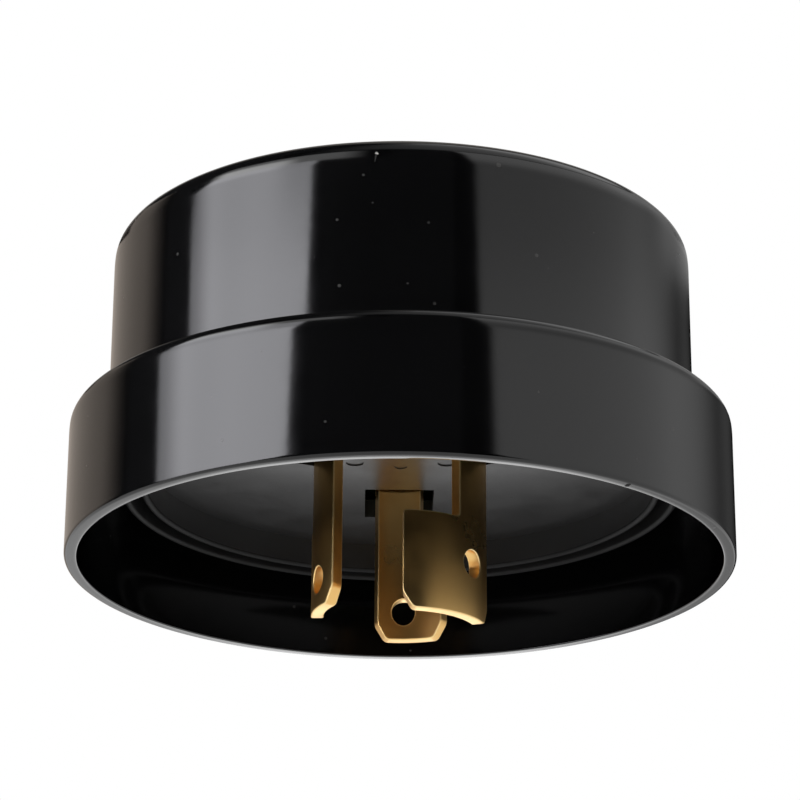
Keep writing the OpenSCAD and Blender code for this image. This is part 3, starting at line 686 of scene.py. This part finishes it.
class PHOTOCELL_OT_base(Piece, bpy.types.Operator):
    """Semi-gloss black base"""

    bl_idname = "photocell.base"
    bl_label = "Base plate"

    # Millimetres: heights, then radii from the outside in
    FACE, PLATE_TOP, WALL_TOP, BOARD_Z, BEAD_Z, BEAD = 13.2, 15.6, 20.0, 20.1, 18.5, 0.45
    PLUG_R, WALL_IN, OUTER_IN, INNER_OUT, INNER_IN = 34.7, 33.1, 33.8, 32.3, 31.4
    # The two rings under the edge, and the ribs between them with their overlap
    OUTER_LOW, INNER_LOW, RING_T, RING_STEPS = 9.05, 9.35, 0.9, 12
    RIBS, RIB_TURN, RIB_T, RIB_LOW, LAP = 12, 20.6, 1.2, 9.75, 0.4
    # Rows that keep the flats' faces short
    FACE_ROWS, PLUG_ROW = (0.0, 10.0, 20.0, 28.0), 13.0
    # Slack in picking the rings' faces: below the base's face and out from the inner ring's bore
    RING_UNDER, RING_WITHIN = 0.01, 0.001
    # The board's posts, and how deep a post or stake sinks into the plate
    POST_TURNS, POST_AT, POST_R, SINK = (30, 150, 270), 27, 3.0, 0.3
    # Each blade's middle in degrees and the width of its opening
    OPENINGS = ((90.74, 8.8), (204.94, 8.8), (329.43, 9.3))
    OPENING_IN, OPENING_OUT, OPENING_CUT = 8.75, 19.7, 4
    # Heat stakes: pin, then the formed head's radii and heights above the plate
    STAKE_R, PIN_R, PIN_H = 6.3, 1.2, 1.6
    HEAD_R, HEAD_TOP_R, HEAD_LOW, HEAD_HIGH = 2.0, 1.4, 1.55, 2.55
    # Ejector and gate marks: place, radius and depth, and how far below the face their cut starts
    MARKS = ((5.7, -1.3, 1.1, 0.15), (-5.7, -1.3, 1.1, 0.15), (0.0, 0.0, 0.8, 0.1))
    MARK_START = 1

    def section(self):
        """The moulding's section, from the axis along the face, over the rings and back inside."""
        half = self.RING_T / 2
        edge = [(r, self.FACE) for r in (*self.FACE_ROWS, self.INNER_IN)]
        edge += arc_points(
            self.INNER_IN + half, self.INNER_LOW + half, half, 180, 360, self.RING_STEPS)
        edge += [(self.INNER_OUT, self.FACE), (self.OUTER_IN, self.FACE)]
        edge += arc_points(
            self.OUTER_IN + half, self.OUTER_LOW + half, half, 180, 360, self.RING_STEPS)
        edge += [(self.PLUG_R, z) for z in (self.PLUG_ROW, self.BEAD_Z - self.BEAD)]
        edge += [(self.PLUG_R + self.BEAD, self.BEAD_Z)]
        edge += [(self.PLUG_R, z) for z in (self.BEAD_Z + self.BEAD, self.WALL_TOP)]
        edge += [(self.WALL_IN, z) for z in (self.WALL_TOP, self.PLATE_TOP)]
        edge += [(r, self.PLATE_TOP) for r in reversed(self.FACE_ROWS)]
        return [(r * MM, z * MM) for r, z in edge]

    def add_ribs(self, bm):
        """Short ribs between the rings."""
        size = (
            self.OUTER_IN - self.INNER_OUT + self.LAP, self.RIB_T,
            self.FACE - self.RIB_LOW + self.LAP)
        out = (self.OUTER_IN + self.INNER_OUT) / 2
        up = (self.FACE + self.RIB_LOW + self.LAP) / 2
        for i in range(self.RIBS):
            add_block(bm, size, spun(self.RIB_TURN + 360 * i / self.RIBS) @ at(out, 0, up))

    def add_posts(self, bm):
        """The board's posts, and the stakes that hold the blades' feet."""
        top = self.PLATE_TOP
        for turn in self.POST_TURNS:
            place = spun(turn) @ at(self.POST_AT, 0, 0)
            add_rod(bm, self.POST_R, top - self.SINK, self.BOARD_Z, place)
        for turn, _ in self.OPENINGS:
            place = spun(turn) @ at(self.STAKE_R, 0, 0)
            add_rod(bm, self.PIN_R, top - self.SINK, top + self.PIN_H, place)
            low, high = top + self.HEAD_LOW, top + self.HEAD_HIGH
            add_rod(bm, self.HEAD_R, low, high, place, self.HEAD_TOP_R)

    def cuts(self):
        """The openings behind the blades, and the marks in the face."""
        bm = bmesh.new()
        out = (self.OPENING_OUT + self.OPENING_IN) / 2
        up = (self.FACE + self.PLATE_TOP) / 2
        for turn, width in self.OPENINGS:
            size = (self.OPENING_OUT - self.OPENING_IN, width, self.OPENING_CUT)
            add_block(bm, size, spun(turn) @ at(out, 0, up))
        for x, y, radius, depth in self.MARKS:
            add_rod(bm, radius, self.FACE - self.MARK_START, self.FACE + depth, at(x, y, 0))
        return bm

    def execute(self, context):
        look = self.plastic
        bm = turned(self.section())
        self.add_ribs(bm)
        self.add_posts(bm)
        under, within = self.FACE - self.RING_UNDER, self.INNER_IN - self.RING_WITHIN
        for face in bm.faces:
            place = face.calc_center_median()
            if place.z < under * MM and place.xy.length > within * MM:
                face.material_index = 1
        face_finish = moulded_black(
            "semi_gloss_base_moulding", look.base_colour, look.base_gloss, index=1.65,
            dust=look.dust_colour, share=0.05, grain=1600.0)
        ring_finish = moulded_black(
            "dull_ring_moulding", look.base_colour, look.ring_gloss, index=1.25,
            dust=look.dust_colour, share=0.05, grain=1600.0)
        mesh = mesh_from(bm, "base_moulding")
        made = piece("base_moulding", mesh, face_finish, "base_plate")
        mesh.materials.append(ring_finish)
        carve(made, self.cuts())
        return {"FINISHED"}


class PHOTOCELL_OT_blades(Piece, bpy.types.Operator):
    """Hooked brass blades with rounded edges"""

    bl_idname = "photocell.blades"
    bl_label = "Hooked blades"

    # Leading edge in degrees, then stem, hook, drop, hole height and hole distance in millimetres
    BLADES = {
        "line_blade": (107.3, 6.3, 9.6, 6.5, 3.6, 3.8),
        "load_blade": (221.5, 6.3, 9.6, 6.5, 3.6, 3.8),
        "neutral_blade": (347.3, 6.8, 14.4, 8.3, 6.8, 4.4),
    }
    HOOK_TOP, FOOT_LOW, FOOT_TOP, TAB_TOP = 4.0, 15.6, 17.15, 23.2
    TAB, CUT_W, CUT_H, HOLE_R = 2.4, 1.3, 2.0, 1.7
    # The foot, its stake's hole and its overlap into the stem
    FOOT_W, FOOT_IN, STAKE_R, STAKE_HOLE_R, LAP = 4.4, 3.9, 6.3, 1.3, 0.3
    # Softening of the outlines' corners, and the strips that the sheets are cut in
    CORNER, BEND_STRIP, FOOT_STRIP = 0.5, 0.45, 2
    # Lays an upright sheet flat: y and z change places
    LAID = Matrix(((1, 0, 0, 0), (0, 0, 1, 0), (0, 1, 0, 0), (0, 0, 0, 1)))

    def outline(self, stem, hook, drop):
        """The unrolled blade, with x back from its leading edge."""
        tip, mid, half = -drop, -stem / 2, self.TAB / 2
        return [
            (-hook + self.CUT_W, tip), (-self.CUT_W, tip), (0, tip + self.CUT_H),
            (0, self.FOOT_TOP), (mid + half, self.FOOT_TOP), (mid + half, self.TAB_TOP),
            (mid - half, self.TAB_TOP), (mid - half, self.FOOT_TOP), (-stem, self.FOOT_TOP),
            (-stem, self.HOOK_TOP), (-hook, self.HOOK_TOP), (-hook, tip + self.CUT_H),
        ]

    def sheet(self, outline, hole, hole_radius, strip):
        """A flat brass sheet from sizes in millimetres."""
        points = softened([(x * MM, z * MM) for x, z in outline], self.CORNER * MM)
        middle = [c * MM for c in hole]
        return sheet_from_outline(
            points, middle, hole_radius * MM, strip * MM,
            self.brass.thickness, self.brass.edge_round)

    def bent_sheet(self, turn, stem, hook, drop, hole_up, hole_in):
        """The blade's sheet, bent round the axis."""
        look = self.brass
        inner = look.outer_radius - look.thickness
        bm = self.sheet(
            self.outline(stem, hook, drop), (-hole_in, hole_up - drop), self.HOLE_R,
            self.BEND_STRIP)
        normal = bm.verts.layers.float_vector[SHEET_NORMAL]
        for v in bm.verts:
            a = math.radians(turn) + v.co.x / look.outer_radius
            r = inner + v.co.y
            v.co = (r * math.cos(a), r * math.sin(a), v.co.z)
            along, out, up = v[normal]
            x = out * math.cos(a) - along * math.sin(a)
            y = out * math.sin(a) + along * math.cos(a)
            v[normal] = (x, y, up)
        return faced_out(bm)

    def foot(self, turn, stem):
        """The foot that turns in over the base, with the hole for its stake."""
        look = self.brass
        end = (look.outer_radius - look.thickness) / MM + self.LAP
        half = self.FOOT_W / 2
        bm = self.sheet(
            ((self.FOOT_IN, -half), (end, -half), (end, half), (self.FOOT_IN, half)),
            (self.STAKE_R, 0.0), self.STAKE_HOLE_R, self.FOOT_STRIP)
        mid = math.radians(turn) - stem * MM / look.outer_radius / 2
        lay = Matrix.Rotation(mid, 4, "Z") @ at(0, 0, self.FOOT_LOW) @ self.LAID
        bm.transform(lay)
        normal = bm.verts.layers.float_vector[SHEET_NORMAL]
        for v in bm.verts:
            v[normal] = lay.to_3x3() @ v[normal]
        return faced_out(bm)

    def execute(self, context):
        look = self.brass
        metal = stamped_brass("stamped_brass_sheet", look.bright, look.dull, look.roughness)
        # The rounded edges get the lighter brass, which is partly rubbed metal and partly a
        # painted highlight along them
        worn_and_highlit_edge = stamped_brass("rubbed_brass_edge", look.rubbed, look.bright, look.edge_roughness)
        for node, sizes in self.BLADES.items():
            turn, stem, *_ = sizes
            sheet = self.bent_sheet(*sizes)
            foot = mesh_from(self.foot(turn, stem), "foot")
            sheet.from_mesh(foot)
            bpy.data.meshes.remove(foot)
            mesh = mesh_from(sheet, node + "_sheet")
            mesh.shade_smooth()
            ways = [way.vector.normalized() for way in mesh.attributes[SHEET_NORMAL].data]
            mesh.normals_split_custom_set_from_vertices(ways)
            mesh.attributes.remove(mesh.attributes[SHEET_NORMAL])
            piece(node + "_sheet", mesh, metal, node)
            mesh.materials.append(worn_and_highlit_edge)
        return {"FINISHED"}


class PHOTOCELL_OT_board(Piece, bpy.types.Operator):
    """Circuit board, its screws and solder"""

    bl_idname = "photocell.board"
    bl_label = "Circuit board"

    STEEL, SOLDER = (0.6, 0.61, 0.63), (0.66, 0.67, 0.68)

    def execute(self, context):
        look = self.circuit
        dress("circuit_board", board_resist("green_solder_resist", look.resist, look.track))
        steel = plated_metal(
            "zinc_plated_steel", self.STEEL, roughness=0.28, streak=(900.0, 900.0, 900.0))
        for node in ("board_screws", "heat_sink_screw", "heat_sink_nut"):
            dress(node, steel)
        dress("solder_joints", plated_metal(
            "bright_solder", self.SOLDER, roughness=0.22, streak=(700.0, 700.0, 700.0)))
        return {"FINISHED"}


class PHOTOCELL_OT_power_parts(Piece, bpy.types.Operator):
    """Triac, heat sink and surge varistor"""

    bl_idname = "photocell.power_parts"
    bl_label = "Power parts"

    ALUMINIUM = (0.72, 0.73, 0.75)

    def execute(self, context):
        look = self.circuit
        dress("triac", part_coat("black_epoxy", look.epoxy, roughness=0.42))
        dress("heat_sink", plated_metal(
            "folded_aluminium", self.ALUMINIUM, roughness=0.34, streak=(150.0, 150.0, 2400.0)))
        dress("surge_varistor", part_coat(
            "blue_dipped_coat", look.dipped, roughness=0.3, scale=260.0))
        return {"FINISHED"}


class PHOTOCELL_OT_capacitors(Piece, bpy.types.Operator):
    """Dropper and smoothing capacitors"""

    bl_idname = "photocell.capacitors"
    bl_label = "Capacitors"

    def execute(self, context):
        look = self.circuit
        dress("dropper_capacitor", part_coat(
            "yellow_film_case", look.film_case, roughness=0.26, scale=180.0))
        dress("smoothing_capacitor", part_coat(
            "dark_blue_sleeve", look.can_sleeve, roughness=0.24, scale=220.0))
        return {"FINISHED"}


class PHOTOCELL_OT_small_parts(Piece, bpy.types.Operator):
    """Rectifier, driver chip, resistors, diode and light sensor"""

    bl_idname = "photocell.small_parts"
    bl_label = "Small parts"

    ELECTRODE = (0.62, 0.55, 0.42)

    def execute(self, context):
        look = self.circuit
        black = part_coat("black_package", look.epoxy, roughness=0.5, scale=520.0)
        dress("bridge_rectifier", black)
        dress("clamp_diode", black)
        dress("driver_chip", part_coat(
            "pale_package", look.pale_epoxy, roughness=0.45, scale=480.0))
        dress("resistors", part_coat("tan_lacquer", look.lacquer, roughness=0.4, scale=600.0))
        dress("light_sensor", cell_face("light_cell_face", look.cell, self.ELECTRODE))
        return {"FINISHED"}


def ramp(x, start, end):
    """0 before the start, 1 after the end, and a smooth rise between."""
    t = min(1.0, max(0.0, (x - start) / (end - start)))
    return t * t * (3 - 2 * t)


class PHOTOCELL_OT_stage(Piece, bpy.types.Operator):
    """Floor, studio light and camera"""

    bl_idname = "photocell.stage"
    bl_label = "Stage"

    # Light panels: left and right azimuth, low and high elevation in degrees, and tint.
    # Azimuth 0 is behind the camera and 90 to the right. The method of the same name gives
    # a panel's brightness at an azimuth and elevation.
    PANELS = {
        "key_softbox": (-92, -30, -10, 30, (0.98, 0.98, 1.03)),
        "upper_softbox": (-84, -4, 30, 43, (1.0, 1.0, 1.0)),
        "right_reflector": (20, 172, -10, 43, (1.0, 1.0, 1.0)),
        "left_wall": (-172, -104, -10, 36, (1.0, 0.87, 0.76)),
        "overhead_softbox": (-60, 150, 43, 88, (1.0, 1.0, 1.0)),
        "back_wall": (140, 220, 26, 88, (1.0, 0.94, 0.88)),
        "low_card": (165, 195, -26, -6, (1.0, 1.0, 1.0)),
    }
    # How far the panels stand from the origin, and their faces across and up
    FAR, ACROSS, UP = 1.6, 160, 80
    # Dark cloth behind the panels: distance, lower edge in degrees and colour
    CLOTH_FAR, CLOTH_LOW, ROOM_COLOUR = 1.7, -5.5, (0.03, 0.03, 0.031)
    # The floor, and the share of it that the camera sees as plain white; the rest keeps the shadow
    FLOOR_HALF, FLOOR_FACES, FLOOR_WHITE = 6.0, 8, 0.85
    FLOOR_PAINT, WHITE = (0.82, 0.82, 0.82, 1.0), (1.0, 1.0, 1.0, 1.0)
    # Rays that see the white background
    SEEN_BY = ("Is Camera Ray", "Is Glossy Ray", "Is Transmission Ray")
    SENSOR_WIDTH, CLIP_START = 36.0, 0.01

    def key_softbox(self, a, e):
        """Left softbox: slanted right edge, soft left edge and uneven cloth."""
        right_edge = ramp(-a - 0.45 * (24.5 - e), 34.7, 36.1)
        slanted = a + 0.25 * (e - 22.7)
        left_edge = 0.45 * ramp(slanted, -90.2, -88) + 0.55 * ramp(slanted, -88, -77)
        left_dim = 1.0 - 0.1 * ramp(-a, 56, 72)
        upper_dim = 1.0 - 0.15 * ramp(e, 23.6, 25.0)
        corner_dim = 1.0 - 0.28 * ramp(e, 24.5, 25.8) * ramp(a, -54, -40)
        top_glow = 1.0 + 0.3 * ramp(e, 26.8, 27.8) * ramp(-a, 44, 54)
        top_edge = ramp(32.0 - 6.5 * ramp(-a, 76, 91) - e, 0.0, 1.2)
        cloth = left_dim * upper_dim * corner_dim * top_glow
        return self.studio.key * right_edge * left_edge * top_edge * cloth

    def upper_softbox(self, a, e):
        """The left softbox's weaker upper part, brightest at its lower left."""
        cloth = 0.25 + 0.75 * ramp(-a, 40, 50) * ramp(-e, -36, -32)
        edges = ramp(a, -84, -74) * ramp(-a, 12, 26) * ramp(-e, -43, -38)
        return self.studio.key * cloth * edges

    def right_reflector(self, a, e):
        """Broad reflector with a slanted left edge, and a pale patch behind it."""
        left_edge = ramp(a + 0.4 * (e - 21), 29, 32)
        right_edge = 0.9 * ramp(-a, -140, -98) + 0.1 * ramp(-a, -168, -146)
        lower_glow = 0.72 + 0.38 * ramp(-e, -25.5, -21.5)
        upper_glow = 1.0 + ramp(e, 26, 33)
        patch = 0.38 * ramp(a, 112, 132) * ramp(e, 23.5, 25.0)
        return self.studio.fill * left_edge * right_edge * lower_glow * upper_glow + patch

    def left_wall(self, a, e):
        """Warm wall at the far left."""
        return 0.5 * ramp(-a, 104, 122)

    def overhead_softbox(self, a, e):
        """Top light, stronger to the right."""
        cloth = 0.55 + 0.45 * ramp(a, 60, 110)
        edges = ramp(a, -60, 60) * ramp(-a, -150, -110) * ramp(e, 42, 48)
        return self.studio.overhead * cloth * edges

    def back_wall(self, a, e):
        """Warm wall behind."""
        return 0.4 * ramp(-abs(a - 180), -40, -20) * ramp(e, 26, 32)

    def low_card(self, a, e):
        """Card low behind the object, with dimmer sides, which the base mirrors."""
        aside = abs(a - 180)
        sides = 0.6 + 0.35 * ramp(a, 174, 186)
        return sides * ramp(aside, 2, 7.2) + self.studio.card * ramp(-aside, -7.2, -2)

    def dark_cloth(self, a, e):
        """The same all over."""
        return 1.0

    def glow(self, name):
        """Emission that follows the panel's own colour attribute."""
        material = bpy.data.materials.new(name)
        n = Nodes(material, "ShaderNodeOutputMaterial")
        tone = n.node("ShaderNodeAttribute", attribute_name="glow")
        light = n.node("ShaderNodeEmission")
        n.link(tone.outputs["Color"], light.inputs["Color"])
        n.link(light.outputs["Emission"], n.out.inputs["Surface"])
        return material

    def panel(self, name, left, right, low, high, tint, far):
        """A curved panel round the object, which the camera does not see."""
        level = getattr(self, name)
        bm = bmesh.new()
        tone = bm.verts.layers.float_color.new("glow")
        rows = []
        for j in range(self.UP + 1):
            e = math.radians(low + (high - low) * j / self.UP)
            row = []
            for i in range(self.ACROSS + 1):
                turn = left + (right - left) * i / self.ACROSS
                a = math.radians(turn)
                v = bm.verts.new((
                    far * math.sin(a) * math.cos(e), -far * math.cos(a) * math.cos(e),
                    far * math.sin(e)))
                share = level(turn, math.degrees(e))
                v[tone] = (*[c * share for c in tint], 1.0)
                row.append(v)
            rows.append(row)
        for a, b in zip(rows, rows[1:]):
            for i in range(self.ACROSS):
                bm.faces.new((a[i], a[i + 1], b[i + 1], b[i]))
        mesh = mesh_from(bm, name)
        mesh.materials.append(self.glow(name + "_glow"))
        made = placed(name, mesh)
        made.visible_camera = False
        made.visible_shadow = False
        return made

    def floor(self, drop):
        """Pale floor, white to the camera and in reflections, that keeps the object's shadow."""
        bm = bmesh.new()
        bmesh.ops.create_grid(
            bm, x_segments=self.FLOOR_FACES, y_segments=self.FLOOR_FACES, size=self.FLOOR_HALF)
        made = placed("floor", mesh_from(bm, "floor"))
        made.location = (0.0, 0.0, -drop)
        material = bpy.data.materials.new("pale_floor")
        n = Nodes(material, "ShaderNodeOutputMaterial")
        paint = n.node("ShaderNodeBsdfDiffuse", {"Color": self.FLOOR_PAINT})
        shine = n.node("ShaderNodeEmission", {"Color": self.WHITE, "Strength": 1.0})
        path = n.node("ShaderNodeLightPath")
        camera, *others = [path.outputs[kind] for kind in self.SEEN_BY]
        seen = n.most(n.math("MULTIPLY", camera, self.FLOOR_WHITE), *others)
        n.choose(seen, paint.outputs["BSDF"], shine.outputs["Emission"])
        made.data.materials.append(material)

    def world(self):
        """White background over the light of a dark room."""
        world = bpy.data.worlds.new("studio")
        bpy.context.scene.world = world
        n = Nodes(world, "ShaderNodeOutputWorld")
        room = n.node("ShaderNodeBackground", {"Color": (*self.ROOM_COLOUR, 1.0)})
        white = n.node("ShaderNodeBackground", {"Color": self.WHITE})
        path = n.node("ShaderNodeLightPath")
        seen = n.most(*[path.outputs[kind] for kind in self.SEEN_BY])
        n.choose(seen, room.outputs["Background"], white.outputs["Background"])

    def camera(self, look):
        """The photograph's view, from below the rim."""
        data = bpy.data.cameras.new("camera")
        data.lens = look.focal
        data.sensor_width = self.SENSOR_WIDTH
        data.clip_start = self.CLIP_START
        made = placed("camera", data)
        made.location = (0.0, -look.camera_back, -look.camera_drop)
        aim = Vector((look.aim_aside, 0.0, look.aim_height)) - made.location
        facing = aim.to_track_quat("-Z", "Y").to_matrix().to_4x4()
        made.rotation_euler = (facing @ Matrix.Rotation(look.camera_roll, 4, "Z")).to_euler()
        bpy.context.scene.camera = made

    def execute(self, context):
        look = self.studio
        context.scene.view_settings.view_transform = "Standard"
        self.floor(look.floor_drop)
        self.world()
        for name, reach in self.PANELS.items():
            self.panel(name, *reach, self.FAR)
        # Only reflections see the cloth, so that the cover stays dark between the softboxes
        cloth = self.panel(
            "dark_cloth", -180, 180, self.CLOTH_LOW, 90, self.ROOM_COLOUR, self.CLOTH_FAR)
        cloth.visible_diffuse = cloth.visible_transmission = False
        self.camera(look)
        return {"FINISHED"}


class PHOTOCELL_PT_panel(bpy.types.Panel):
    """Lists the pieces and their settings"""

    bl_idname = "PHOTOCELL_PT_panel"
    bl_label = "Photocell switch"
    bl_space_type = "VIEW_3D"
    bl_region_type = "UI"
    bl_category = "Photocell"

    def draw(self, context):
        for operator in OPERATORS:
            self.layout.operator(operator.bl_idname)
        for name, group in SETTINGS.items():
            box = self.layout.box()
            for key in group.__annotations__:
                box.prop(getattr(context.scene, name), key)


SETTINGS = {
    "photocell_plastic": PlasticFinish,
    "photocell_blades": BladeFinish,
    "photocell_circuit": CircuitFinish,
    "photocell_studio": StudioSettings,
}
OPERATORS = (
    PHOTOCELL_OT_stage,
    PHOTOCELL_OT_cover,
    PHOTOCELL_OT_window,
    PHOTOCELL_OT_base,
    PHOTOCELL_OT_blades,
    PHOTOCELL_OT_board,
    PHOTOCELL_OT_power_parts,
    PHOTOCELL_OT_capacitors,
    PHOTOCELL_OT_small_parts,
)


def register():
    for made in (*SETTINGS.values(), *OPERATORS, PHOTOCELL_PT_panel):
        bpy.utils.register_class(made)
    for name, group in SETTINGS.items():
        setattr(bpy.types.Scene, name, PointerProperty(type=group))


def unregister():
    for name in SETTINGS:
        delattr(bpy.types.Scene, name)
    for made in (PHOTOCELL_PT_panel, *reversed(OPERATORS), *reversed(SETTINGS.values())):
        bpy.utils.unregister_class(made)


def main():
    register()
    bpy.ops.photocell.stage()
    bpy.ops.photocell.cover()
    bpy.ops.photocell.window()
    bpy.ops.photocell.base()
    bpy.ops.photocell.blades()
    bpy.ops.photocell.board()
    bpy.ops.photocell.power_parts()
    bpy.ops.photocell.capacitors()
    bpy.ops.photocell.small_parts()


if __name__ == "__main__":
    main()
